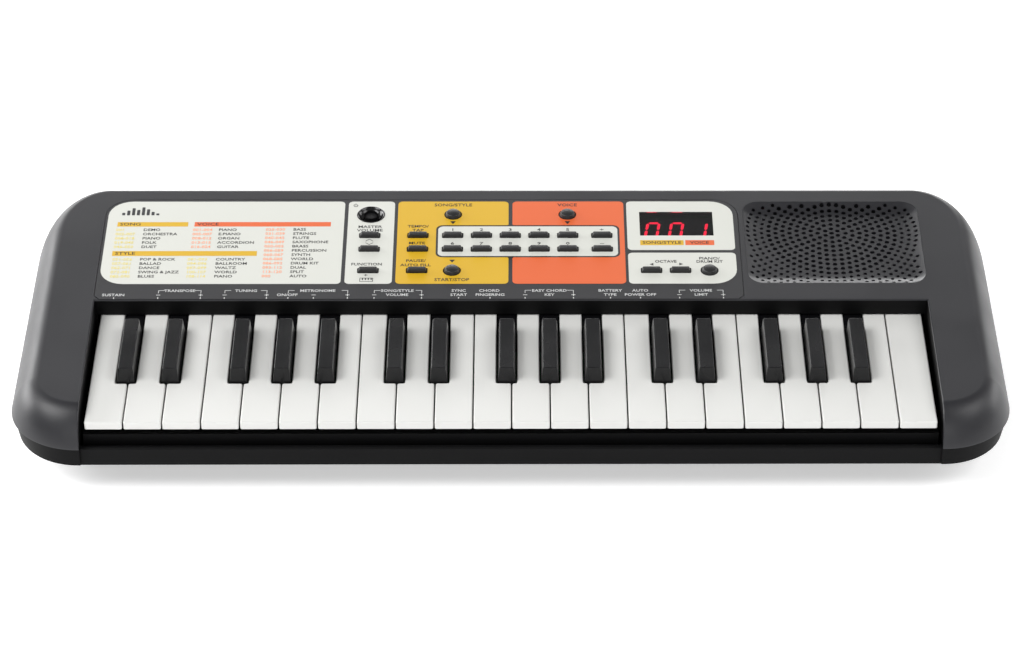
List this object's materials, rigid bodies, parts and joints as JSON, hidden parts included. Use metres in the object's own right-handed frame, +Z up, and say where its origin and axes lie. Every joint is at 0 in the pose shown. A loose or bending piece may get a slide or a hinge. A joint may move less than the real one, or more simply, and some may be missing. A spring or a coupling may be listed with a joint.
{
  "type": "toy electronic keyboard",
  "caption": "Small battery-powered toy electronic keyboard with hinged white and black keys, a button panel, a number display and a speaker grille.",
  "frame": {"origin": "centre of the bounding box in X and Y, on the surface the feet stand on", "axes": "+X towards the player's right, along the row of keys; +Y away from the player; +Z up"},
  "size_m": [0.506, 0.201, 0.0549],
  "materials": {
    "case": "charcoal satin, fine texture",
    "lower_case": "black satin",
    "white_key": "semi-gloss",
    "black_key": "semi-gloss",
    "button": "matt",
    "power_button": "matt",
    "panel_print": "printed sheet with yellow and orange fields",
    "circuit_board": "solder mask",
    "display": "LED module",
    "led_digits": "lit segments",
    "speaker": "stamped basket",
    "chassis": "moulded"
  },
  "bodies": {
    "case": {"top_case": "case", "bottom_case": "lower_case", "panel_sheet": "panel_print", "main_board": "circuit_board", "display_module": "display", "speaker": "speaker", "key_frame": "chassis", "contact_board": "circuit_board"},
    "white_key_c2": {"white_key_c2": "white_key"},
    "black_key_c_sharp2": {"black_key_c_sharp2": "black_key"},
    "white_key_d2": {"white_key_d2": "white_key"},
    "black_key_d_sharp2": {"black_key_d_sharp2": "black_key"},
    "white_key_e2": {"white_key_e2": "white_key"},
    "white_key_f2": {"white_key_f2": "white_key"},
    "black_key_f_sharp2": {"black_key_f_sharp2": "black_key"},
    "white_key_g2": {"white_key_g2": "white_key"},
    "black_key_g_sharp2": {"black_key_g_sharp2": "black_key"},
    "white_key_a2": {"white_key_a2": "white_key"},
    "black_key_a_sharp2": {"black_key_a_sharp2": "black_key"},
    "white_key_b2": {"white_key_b2": "white_key"},
    "white_key_c3": {"white_key_c3": "white_key"},
    "black_key_c_sharp3": {"black_key_c_sharp3": "black_key"},
    "white_key_d3": {"white_key_d3": "white_key"},
    "black_key_d_sharp3": {"black_key_d_sharp3": "black_key"},
    "white_key_e3": {"white_key_e3": "white_key"},
    "white_key_f3": {"white_key_f3": "white_key"},
    "black_key_f_sharp3": {"black_key_f_sharp3": "black_key"},
    "white_key_g3": {"white_key_g3": "white_key"},
    "black_key_g_sharp3": {"black_key_g_sharp3": "black_key"},
    "white_key_a3": {"white_key_a3": "white_key"},
    "black_key_a_sharp3": {"black_key_a_sharp3": "black_key"},
    "white_key_b3": {"white_key_b3": "white_key"},
    "white_key_c4": {"white_key_c4": "white_key"},
    "black_key_c_sharp4": {"black_key_c_sharp4": "black_key"},
    "white_key_d4": {"white_key_d4": "white_key"},
    "black_key_d_sharp4": {"black_key_d_sharp4": "black_key"},
    "white_key_e4": {"white_key_e4": "white_key"},
    "white_key_f4": {"white_key_f4": "white_key"},
    "black_key_f_sharp4": {"black_key_f_sharp4": "black_key"},
    "white_key_g4": {"white_key_g4": "white_key"},
    "black_key_g_sharp4": {"black_key_g_sharp4": "black_key"},
    "white_key_a4": {"white_key_a4": "white_key"},
    "black_key_a_sharp4": {"black_key_a_sharp4": "black_key"},
    "white_key_b4": {"white_key_b4": "white_key"},
    "white_key_c5": {"white_key_c5": "white_key"},
    "volume_up_button": {"volume_up_button": "button"},
    "volume_down_button": {"volume_down_button": "button"},
    "function_button": {"function_button": "button"},
    "tempo_button": {"tempo_button": "button"},
    "mute_button": {"mute_button": "button"},
    "pause_button": {"pause_button": "button"},
    "octave_down_button": {"octave_down_button": "button"},
    "octave_up_button": {"octave_up_button": "button"},
    "song_style_button": {"song_style_button": "button"},
    "start_stop_button": {"start_stop_button": "button"},
    "voice_button": {"voice_button": "button"},
    "piano_drum_button": {"piano_drum_button": "button"},
    "power_button": {"power_button": "power_button"},
    "number_keypad": {"number_keypad": "button"},
    "battery_cover": {"battery_cover": "lower_case"}
  },
  "joints": [
    {"name": "white_key_c2_hinge", "type": "hinge", "parent": "case", "child": "white_key_c2", "pos_m": [-0.2038, 0.02395, 0.036], "axis": [1, 0, 0], "range_deg": [0, 1.95], "stiffness_Nm_per_rad": 0.6, "springref_deg": -4.58},
    {"name": "white_key_d2_hinge", "type": "hinge", "parent": "case", "child": "white_key_d2", "pos_m": [-0.1844, 0.02395, 0.036], "axis": [1, 0, 0], "range_deg": [0, 1.95], "stiffness_Nm_per_rad": 0.6, "springref_deg": -4.58},
    {"name": "white_key_e2_hinge", "type": "hinge", "parent": "case", "child": "white_key_e2", "pos_m": [-0.16498, 0.02395, 0.036], "axis": [1, 0, 0], "range_deg": [0, 1.95], "stiffness_Nm_per_rad": 0.6, "springref_deg": -4.58},
    {"name": "white_key_f2_hinge", "type": "hinge", "parent": "case", "child": "white_key_f2", "pos_m": [-0.14558, 0.02395, 0.036], "axis": [1, 0, 0], "range_deg": [0, 1.95], "stiffness_Nm_per_rad": 0.6, "springref_deg": -4.58},
    {"name": "white_key_g2_hinge", "type": "hinge", "parent": "case", "child": "white_key_g2", "pos_m": [-0.12616, 0.02395, 0.036], "axis": [1, 0, 0], "range_deg": [0, 1.95], "stiffness_Nm_per_rad": 0.6, "springref_deg": -4.58},
    {"name": "white_key_a2_hinge", "type": "hinge", "parent": "case", "child": "white_key_a2", "pos_m": [-0.10676, 0.02395, 0.036], "axis": [1, 0, 0], "range_deg": [0, 1.95], "stiffness_Nm_per_rad": 0.6, "springref_deg": -4.58},
    {"name": "white_key_b2_hinge", "type": "hinge", "parent": "case", "child": "white_key_b2", "pos_m": [-0.08735, 0.02395, 0.036], "axis": [1, 0, 0], "range_deg": [0, 1.95], "stiffness_Nm_per_rad": 0.6, "springref_deg": -4.58},
    {"name": "white_key_c3_hinge", "type": "hinge", "parent": "case", "child": "white_key_c3", "pos_m": [-0.06793, 0.02395, 0.036], "axis": [1, 0, 0], "range_deg": [0, 1.95], "stiffness_Nm_per_rad": 0.6, "springref_deg": -4.58},
    {"name": "white_key_d3_hinge", "type": "hinge", "parent": "case", "child": "white_key_d3", "pos_m": [-0.04852, 0.02395, 0.036], "axis": [1, 0, 0], "range_deg": [0, 1.95], "stiffness_Nm_per_rad": 0.6, "springref_deg": -4.58},
    {"name": "white_key_e3_hinge", "type": "hinge", "parent": "case", "child": "white_key_e3", "pos_m": [-0.02911, 0.02395, 0.036], "axis": [1, 0, 0], "range_deg": [0, 1.95], "stiffness_Nm_per_rad": 0.6, "springref_deg": -4.58},
    {"name": "white_key_f3_hinge", "type": "hinge", "parent": "case", "child": "white_key_f3", "pos_m": [-0.00971, 0.02395, 0.036], "axis": [1, 0, 0], "range_deg": [0, 1.95], "stiffness_Nm_per_rad": 0.6, "springref_deg": -4.58},
    {"name": "white_key_g3_hinge", "type": "hinge", "parent": "case", "child": "white_key_g3", "pos_m": [0.00971, 0.02395, 0.036], "axis": [1, 0, 0], "range_deg": [0, 1.95], "stiffness_Nm_per_rad": 0.6, "springref_deg": -4.58},
    {"name": "white_key_a3_hinge", "type": "hinge", "parent": "case", "child": "white_key_a3", "pos_m": [0.02911, 0.02395, 0.036], "axis": [1, 0, 0], "range_deg": [0, 1.95], "stiffness_Nm_per_rad": 0.6, "springref_deg": -4.58},
    {"name": "white_key_b3_hinge", "type": "hinge", "parent": "case", "child": "white_key_b3", "pos_m": [0.04852, 0.02395, 0.036], "axis": [1, 0, 0], "range_deg": [0, 1.95], "stiffness_Nm_per_rad": 0.6, "springref_deg": -4.58},
    {"name": "white_key_c4_hinge", "type": "hinge", "parent": "case", "child": "white_key_c4", "pos_m": [0.06793, 0.02395, 0.036], "axis": [1, 0, 0], "range_deg": [0, 1.95], "stiffness_Nm_per_rad": 0.6, "springref_deg": -4.58},
    {"name": "white_key_d4_hinge", "type": "hinge", "parent": "case", "child": "white_key_d4", "pos_m": [0.08735, 0.02395, 0.036], "axis": [1, 0, 0], "range_deg": [0, 1.95], "stiffness_Nm_per_rad": 0.6, "springref_deg": -4.58},
    {"name": "white_key_e4_hinge", "type": "hinge", "parent": "case", "child": "white_key_e4", "pos_m": [0.10676, 0.02395, 0.036], "axis": [1, 0, 0], "range_deg": [0, 1.95], "stiffness_Nm_per_rad": 0.6, "springref_deg": -4.58},
    {"name": "white_key_f4_hinge", "type": "hinge", "parent": "case", "child": "white_key_f4", "pos_m": [0.12616, 0.02395, 0.036], "axis": [1, 0, 0], "range_deg": [0, 1.95], "stiffness_Nm_per_rad": 0.6, "springref_deg": -4.58},
    {"name": "white_key_g4_hinge", "type": "hinge", "parent": "case", "child": "white_key_g4", "pos_m": [0.14558, 0.02395, 0.036], "axis": [1, 0, 0], "range_deg": [0, 1.95], "stiffness_Nm_per_rad": 0.6, "springref_deg": -4.58},
    {"name": "white_key_a4_hinge", "type": "hinge", "parent": "case", "child": "white_key_a4", "pos_m": [0.16498, 0.02395, 0.036], "axis": [1, 0, 0], "range_deg": [0, 1.95], "stiffness_Nm_per_rad": 0.6, "springref_deg": -4.58},
    {"name": "white_key_b4_hinge", "type": "hinge", "parent": "case", "child": "white_key_b4", "pos_m": [0.1844, 0.02395, 0.036], "axis": [1, 0, 0], "range_deg": [0, 1.95], "stiffness_Nm_per_rad": 0.6, "springref_deg": -4.58},
    {"name": "white_key_c5_hinge", "type": "hinge", "parent": "case", "child": "white_key_c5", "pos_m": [0.2038, 0.02395, 0.036], "axis": [1, 0, 0], "range_deg": [0, 1.95], "stiffness_Nm_per_rad": 0.6, "springref_deg": -4.58},
    {"name": "black_key_c_sharp2_hinge", "type": "hinge", "parent": "case", "child": "black_key_c_sharp2", "pos_m": [-0.1953, 0.02395, 0.036], "axis": [1, 0, 0], "range_deg": [0, 2.4], "stiffness_Nm_per_rad": 0.6, "springref_deg": -4.58},
    {"name": "black_key_d_sharp2_hinge", "type": "hinge", "parent": "case", "child": "black_key_d_sharp2", "pos_m": [-0.17289, 0.02395, 0.036], "axis": [1, 0, 0], "range_deg": [0, 2.4], "stiffness_Nm_per_rad": 0.6, "springref_deg": -4.58},
    {"name": "black_key_f_sharp2_hinge", "type": "hinge", "parent": "case", "child": "black_key_f_sharp2", "pos_m": [-0.13847, 0.02395, 0.036], "axis": [1, 0, 0], "range_deg": [0, 2.4], "stiffness_Nm_per_rad": 0.6, "springref_deg": -4.58},
    {"name": "black_key_g_sharp2_hinge", "type": "hinge", "parent": "case", "child": "black_key_g_sharp2", "pos_m": [-0.11646, 0.02395, 0.036], "axis": [1, 0, 0], "range_deg": [0, 2.4], "stiffness_Nm_per_rad": 0.6, "springref_deg": -4.58},
    {"name": "black_key_a_sharp2_hinge", "type": "hinge", "parent": "case", "child": "black_key_a_sharp2", "pos_m": [-0.09435, 0.02395, 0.036], "axis": [1, 0, 0], "range_deg": [0, 2.4], "stiffness_Nm_per_rad": 0.6, "springref_deg": -4.58},
    {"name": "black_key_c_sharp3_hinge", "type": "hinge", "parent": "case", "child": "black_key_c_sharp3", "pos_m": [-0.05943, 0.02395, 0.036], "axis": [1, 0, 0], "range_deg": [0, 2.4], "stiffness_Nm_per_rad": 0.6, "springref_deg": -4.58},
    {"name": "black_key_d_sharp3_hinge", "type": "hinge", "parent": "case", "child": "black_key_d_sharp3", "pos_m": [-0.03702, 0.02395, 0.036], "axis": [1, 0, 0], "range_deg": [0, 2.4], "stiffness_Nm_per_rad": 0.6, "springref_deg": -4.58},
    {"name": "black_key_f_sharp3_hinge", "type": "hinge", "parent": "case", "child": "black_key_f_sharp3", "pos_m": [-0.0026, 0.02395, 0.036], "axis": [1, 0, 0], "range_deg": [0, 2.4], "stiffness_Nm_per_rad": 0.6, "springref_deg": -4.58},
    {"name": "black_key_g_sharp3_hinge", "type": "hinge", "parent": "case", "child": "black_key_g_sharp3", "pos_m": [0.01941, 0.02395, 0.036], "axis": [1, 0, 0], "range_deg": [0, 2.4], "stiffness_Nm_per_rad": 0.6, "springref_deg": -4.58},
    {"name": "black_key_a_sharp3_hinge", "type": "hinge", "parent": "case", "child": "black_key_a_sharp3", "pos_m": [0.04152, 0.02395, 0.036], "axis": [1, 0, 0], "range_deg": [0, 2.4], "stiffness_Nm_per_rad": 0.6, "springref_deg": -4.58},
    {"name": "black_key_c_sharp4_hinge", "type": "hinge", "parent": "case", "child": "black_key_c_sharp4", "pos_m": [0.07644, 0.02395, 0.036], "axis": [1, 0, 0], "range_deg": [0, 2.4], "stiffness_Nm_per_rad": 0.6, "springref_deg": -4.58},
    {"name": "black_key_d_sharp4_hinge", "type": "hinge", "parent": "case", "child": "black_key_d_sharp4", "pos_m": [0.09885, 0.02395, 0.036], "axis": [1, 0, 0], "range_deg": [0, 2.4], "stiffness_Nm_per_rad": 0.6, "springref_deg": -4.58},
    {"name": "black_key_f_sharp4_hinge", "type": "hinge", "parent": "case", "child": "black_key_f_sharp4", "pos_m": [0.13327, 0.02395, 0.036], "axis": [1, 0, 0], "range_deg": [0, 2.4], "stiffness_Nm_per_rad": 0.6, "springref_deg": -4.58},
    {"name": "black_key_g_sharp4_hinge", "type": "hinge", "parent": "case", "child": "black_key_g_sharp4", "pos_m": [0.15528, 0.02395, 0.036], "axis": [1, 0, 0], "range_deg": [0, 2.4], "stiffness_Nm_per_rad": 0.6, "springref_deg": -4.58},
    {"name": "black_key_a_sharp4_hinge", "type": "hinge", "parent": "case", "child": "black_key_a_sharp4", "pos_m": [0.17739, 0.02395, 0.036], "axis": [1, 0, 0], "range_deg": [0, 2.4], "stiffness_Nm_per_rad": 0.6, "springref_deg": -4.58},
    {"name": "volume_up_button_press", "type": "slide", "parent": "case", "child": "volume_up_button", "axis": [0, 0.0384, -0.9993], "range_m": [0, 0.001], "stiffness_N_per_m": 400, "springref_m": -0.001},
    {"name": "volume_down_button_press", "type": "slide", "parent": "case", "child": "volume_down_button", "axis": [0, 0.0384, -0.9993], "range_m": [0, 0.001], "stiffness_N_per_m": 400, "springref_m": -0.001},
    {"name": "function_button_press", "type": "slide", "parent": "case", "child": "function_button", "axis": [0, 0.0384, -0.9993], "range_m": [0, 0.001], "stiffness_N_per_m": 400, "springref_m": -0.001},
    {"name": "tempo_button_press", "type": "slide", "parent": "case", "child": "tempo_button", "axis": [0, 0.0384, -0.9993], "range_m": [0, 0.001], "stiffness_N_per_m": 400, "springref_m": -0.001},
    {"name": "mute_button_press", "type": "slide", "parent": "case", "child": "mute_button", "axis": [0, 0.0384, -0.9993], "range_m": [0, 0.001], "stiffness_N_per_m": 400, "springref_m": -0.001},
    {"name": "pause_button_press", "type": "slide", "parent": "case", "child": "pause_button", "axis": [0, 0.0384, -0.9993], "range_m": [0, 0.001], "stiffness_N_per_m": 400, "springref_m": -0.001},
    {"name": "octave_down_button_press", "type": "slide", "parent": "case", "child": "octave_down_button", "axis": [0, 0.0384, -0.9993], "range_m": [0, 0.001], "stiffness_N_per_m": 400, "springref_m": -0.001},
    {"name": "octave_up_button_press", "type": "slide", "parent": "case", "child": "octave_up_button", "axis": [0, 0.0384, -0.9993], "range_m": [0, 0.001], "stiffness_N_per_m": 400, "springref_m": -0.001},
    {"name": "song_style_button_press", "type": "slide", "parent": "case", "child": "song_style_button", "axis": [0, 0.0384, -0.9993], "range_m": [0, 0.001], "stiffness_N_per_m": 400, "springref_m": -0.001},
    {"name": "start_stop_button_press", "type": "slide", "parent": "case", "child": "start_stop_button", "axis": [0, 0.0384, -0.9993], "range_m": [0, 0.001], "stiffness_N_per_m": 400, "springref_m": -0.001},
    {"name": "voice_button_press", "type": "slide", "parent": "case", "child": "voice_button", "axis": [0, 0.0384, -0.9993], "range_m": [0, 0.001], "stiffness_N_per_m": 400, "springref_m": -0.001},
    {"name": "piano_drum_button_press", "type": "slide", "parent": "case", "child": "piano_drum_button", "axis": [0, 0.0384, -0.9993], "range_m": [0, 0.001], "stiffness_N_per_m": 400, "springref_m": -0.001},
    {"name": "power_button_press", "type": "slide", "parent": "case", "child": "power_button", "axis": [0, 0.0384, -0.9993], "range_m": [0, 0.001], "stiffness_N_per_m": 400, "springref_m": -0.001},
    {"name": "number_keypad_press", "type": "slide", "parent": "case", "child": "number_keypad", "axis": [0, 0.0384, -0.9993], "range_m": [0, 0.001], "stiffness_N_per_m": 1200, "springref_m": -0.001},
    {"name": "battery_cover_slide", "type": "slide", "parent": "case", "child": "battery_cover", "axis": [0, 1, 0], "range_m": [0, 0.012]}
  ]
}
